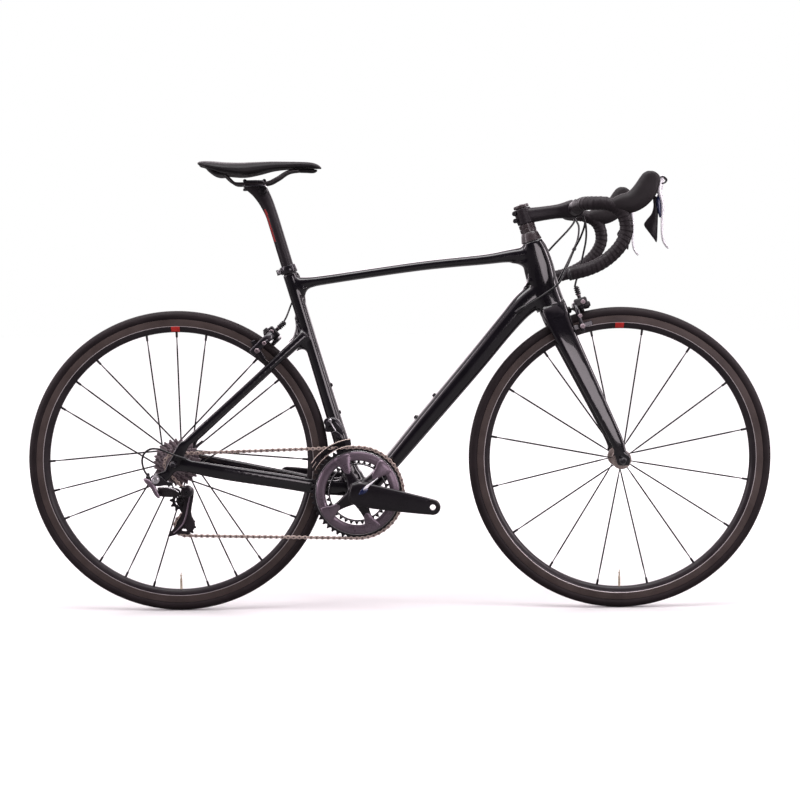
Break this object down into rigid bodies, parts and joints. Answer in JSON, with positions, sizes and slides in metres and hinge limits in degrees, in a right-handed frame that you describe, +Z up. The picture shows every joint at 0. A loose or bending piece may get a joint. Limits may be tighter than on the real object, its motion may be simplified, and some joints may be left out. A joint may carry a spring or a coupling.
{
  "type": "road bicycle",
  "caption": "Rim-brake road bicycle with carbon frame, drop handlebar, spoked wheels, double chainset and rear cassette; no pedals fitted.",
  "frame": {"origin": "on the ground, midway between the wheel axles, in the bicycle's middle plane", "axes": "+X forward, +Y to the rider's left, +Z up; the drive side is -Y"},
  "size_m": [1.656, 0.449, 0.9958],
  "materials": {
    "gloss_carbon": "clear-lacquered black carbon fibre, faint navy tint",
    "satin_carbon": "satin black",
    "rim_carbon": "satin black carbon with a dark brown brake track",
    "tyre": "black-brown slick tread",
    "hood_rubber": "dark rubber",
    "bar_tape": "wrapped black cork tape",
    "cable_housing": "black plastic outer cable",
    "black_steel": "black spokes and hub",
    "dark_alloy": "dark grey gloss anodised",
    "polished_alloy": "polished silver",
    "chain_steel": "champagne-coloured plating",
    "cassette_steel": "grey-mauve satin steel",
    "saddle_cover": "black synthetic leather",
    "rail_carbon": "black braided carbon"
  },
  "bodies": {
    "frame": {"head_tube": "gloss_carbon", "top_tube": "gloss_carbon", "down_tube": "gloss_carbon", "seat_tube": "gloss_carbon", "chainstay_right": "gloss_carbon", "chainstay_left": "gloss_carbon", "seatstay_right": "gloss_carbon", "seatstay_left": "gloss_carbon", "bottom_bracket": "dark_alloy", "seat_clamp": "dark_alloy", "chain": "chain_steel", "rear_hub_axle": "polished_alloy", "rear_skewer": "dark_alloy", "rear_derailleur_body": "dark_alloy", "front_derailleur_body": "dark_alloy", "rear_brake_cable": "cable_housing", "rear_derailleur_cable": "cable_housing", "handlebar_cables": "cable_housing"},
    "front_end": {"fork": "gloss_carbon", "headset_spacers": "satin_carbon", "stem": "satin_carbon", "stem_faceplate": "satin_carbon", "stem_top_cap": "satin_carbon", "handlebar": "bar_tape", "brake_hood_right": "hood_rubber", "brake_hood_left": "hood_rubber", "front_hub_axle": "polished_alloy", "front_skewer": "dark_alloy", "front_brake_cable": "cable_housing"},
    "front_wheel": {"front_tyre": "tyre", "front_rim": "rim_carbon", "front_hub_and_spokes": "black_steel"},
    "rear_wheel": {"rear_tyre": "tyre", "rear_rim": "rim_carbon", "rear_hub_and_spokes": "black_steel"},
    "freehub": {"cassette": "cassette_steel"},
    "crankset": {"crank_right": "dark_alloy", "crank_left": "dark_alloy", "chainring_outer": "dark_alloy", "chainring_inner": "dark_alloy"},
    "derailleur_link": {"rear_derailleur_link": "dark_alloy"},
    "derailleur_knuckle": {"rear_derailleur_knuckle": "dark_alloy"},
    "derailleur_cage": {"rear_derailleur_cage": "dark_alloy"},
    "guide_pulley": {"guide_pulley": "dark_alloy"},
    "tension_pulley": {"tension_pulley": "dark_alloy"},
    "front_derailleur_cage": {"front_derailleur_cage": "dark_alloy"},
    "brake_lever_right": {"brake_lever_right": "polished_alloy"},
    "brake_lever_left": {"brake_lever_left": "polished_alloy"},
    "shift_lever_right": {"shift_lever_right": "satin_carbon"},
    "shift_lever_left": {"shift_lever_left": "satin_carbon"},
    "front_brake_arm_right": {"front_brake_arm_right": "dark_alloy"},
    "front_brake_arm_left": {"front_brake_arm_left": "dark_alloy"},
    "rear_brake_arm_right": {"rear_brake_arm_right": "dark_alloy"},
    "rear_brake_arm_left": {"rear_brake_arm_left": "dark_alloy"},
    "front_qr_lever": {"front_qr_lever": "dark_alloy"},
    "rear_qr_lever": {"rear_qr_lever": "dark_alloy"},
    "seatpost": {"seatpost": "satin_carbon", "seatpost_clamp": "dark_alloy"},
    "saddle": {"saddle": "saddle_cover", "saddle_rails": "rail_carbon"}
  },
  "joints": [
    {"name": "steering", "type": "hinge", "parent": "frame", "child": "front_end", "pos_m": [0.44992, 0, 0.32314], "axis": [-0.2924, 0, 0.9563], "range_deg": [-60, 60], "deforming": ["handlebar_cables"]},
    {"name": "front_wheel_spin", "type": "hinge", "parent": "front_end", "child": "front_wheel", "pos_m": [0.492, 0, 0.336], "axis": [0, 1, 0], "continuous": true},
    {"name": "rear_wheel_spin", "type": "hinge", "parent": "frame", "child": "rear_wheel", "pos_m": [-0.492, 0, 0.336], "axis": [0, 1, 0], "continuous": true},
    {"name": "crank_spin", "type": "hinge", "parent": "frame", "child": "crankset", "pos_m": [-0.09077, 0, 0.2677], "axis": [0, 1, 0], "continuous": true},
    {"name": "freehub_spin", "type": "hinge", "parent": "frame", "child": "freehub", "pos_m": [-0.492, 0, 0.336], "axis": [0, 1, 0], "continuous": true},
    {"name": "rear_derailleur_shift", "type": "hinge", "parent": "frame", "child": "derailleur_link", "pos_m": [-0.524, -0.066, 0.277], "axis": [0, 0.342, 0.9397], "range_deg": [0, 38.9], "stiffness_Nm_per_rad": 1.2, "springref_deg": -114.59, "deforming": ["chain"]},
    {"name": "rear_derailleur_follow", "type": "hinge", "parent": "derailleur_link", "child": "derailleur_knuckle", "pos_m": [-0.473, -0.084, 0.277], "axis": [0, 0.342, 0.9397], "range_deg": [-38.9, 0]},
    {"name": "rear_derailleur_tension", "type": "hinge", "parent": "derailleur_knuckle", "child": "derailleur_cage", "pos_m": [-0.463, -0.066, 0.277], "axis": [0, 1, 0], "range_deg": [-20, 45], "stiffness_Nm_per_rad": 0.8},
    {"name": "guide_pulley_spin", "type": "hinge", "parent": "derailleur_cage", "child": "guide_pulley", "pos_m": [-0.4798, -0.0595, 0.2546], "axis": [0, 1, 0], "continuous": true},
    {"name": "tension_pulley_spin", "type": "hinge", "parent": "derailleur_cage", "child": "tension_pulley", "pos_m": [-0.4717, -0.0595, 0.1998], "axis": [0, 1, 0], "continuous": true},
    {"name": "front_derailleur_shift", "type": "hinge", "parent": "frame", "child": "front_derailleur_cage", "pos_m": [-0.144, -0.034, 0.402], "axis": [1, 0, 0], "range_deg": [0, 9], "stiffness_Nm_per_rad": 1.5},
    {"name": "brake_lever_right_pull", "type": "hinge", "parent": "front_end", "child": "brake_lever_right", "pos_m": [0.548, -0.207, 0.938], "axis": [0, 1, 0], "range_deg": [0, 14], "stiffness_Nm_per_rad": 1.5},
    {"name": "shift_lever_right_push", "type": "hinge", "parent": "brake_lever_right", "child": "shift_lever_right", "pos_m": [0.537, -0.205, 0.893], "axis": [1, 0, 0], "range_deg": [0, 18], "stiffness_Nm_per_rad": 0.4},
    {"name": "front_brake_right", "type": "hinge", "parent": "front_end", "child": "front_brake_arm_right", "pos_m": [0.39791, 0, 0.67113], "axis": [0.9563, 0, 0.2924], "range_deg": [0, 1.6]},
    {"name": "rear_brake_right", "type": "hinge", "parent": "frame", "child": "rear_brake_arm_right", "pos_m": [-0.2752, 0, 0.60742], "axis": [-0.6722, 0, 0.7403], "range_deg": [-1.6, 0]},
    {"name": "brake_lever_left_pull", "type": "hinge", "parent": "front_end", "child": "brake_lever_left", "pos_m": [0.548, 0.207, 0.938], "axis": [0, 1, 0], "range_deg": [0, 14], "stiffness_Nm_per_rad": 1.5},
    {"name": "shift_lever_left_push", "type": "hinge", "parent": "brake_lever_left", "child": "shift_lever_left", "pos_m": [0.537, 0.205, 0.893], "axis": [-1, 0, 0], "range_deg": [0, 18], "stiffness_Nm_per_rad": 0.4},
    {"name": "front_brake_left", "type": "hinge", "parent": "front_end", "child": "front_brake_arm_left", "pos_m": [0.39791, 0, 0.67113], "axis": [0.9563, 0, 0.2924], "range_deg": [-1.6, 0]},
    {"name": "rear_brake_left", "type": "hinge", "parent": "frame", "child": "rear_brake_arm_left", "pos_m": [-0.2752, 0, 0.60742], "axis": [-0.6722, 0, 0.7403], "range_deg": [0, 1.6]},
    {"name": "front_qr_open", "type": "hinge", "parent": "front_end", "child": "front_qr_lever", "pos_m": [0.492, 0.0689, 0.336], "axis": [-0.9563, 0, -0.2924], "range_deg": [0, 180]},
    {"name": "rear_qr_open", "type": "hinge", "parent": "frame", "child": "rear_qr_lever", "pos_m": [-0.492, 0.0839, 0.336], "axis": [-0.6722, 0, 0.7403], "range_deg": [0, 180]},
    {"name": "seatpost_height", "type": "slide", "parent": "frame", "child": "seatpost", "axis": [-0.2807, 0, 0.9598], "range_m": [-0.09, 0.06]},
    {"name": "saddle_fore_aft", "type": "slide", "parent": "seatpost", "child": "saddle", "axis": [1, 0, 0], "range_m": [-0.01, 0.01]}
  ],
  "couplings": [
    {"joint": "freehub_spin", "follows": "crank_spin", "ratio": 4.5455},
    {"joint": "guide_pulley_spin", "follows": "crank_spin", "ratio": -4.5455},
    {"joint": "tension_pulley_spin", "follows": "crank_spin", "ratio": 4.5455},
    {"joint": "rear_derailleur_follow", "follows": "rear_derailleur_shift", "ratio": -1},
    {"joint": "front_brake_right", "follows": "brake_lever_left_pull", "ratio": 0.11429},
    {"joint": "front_brake_left", "follows": "brake_lever_left_pull", "ratio": -0.11429},
    {"joint": "rear_brake_right", "follows": "brake_lever_right_pull", "ratio": -0.11429},
    {"joint": "rear_brake_left", "follows": "brake_lever_right_pull", "ratio": 0.11429}
  ]
}
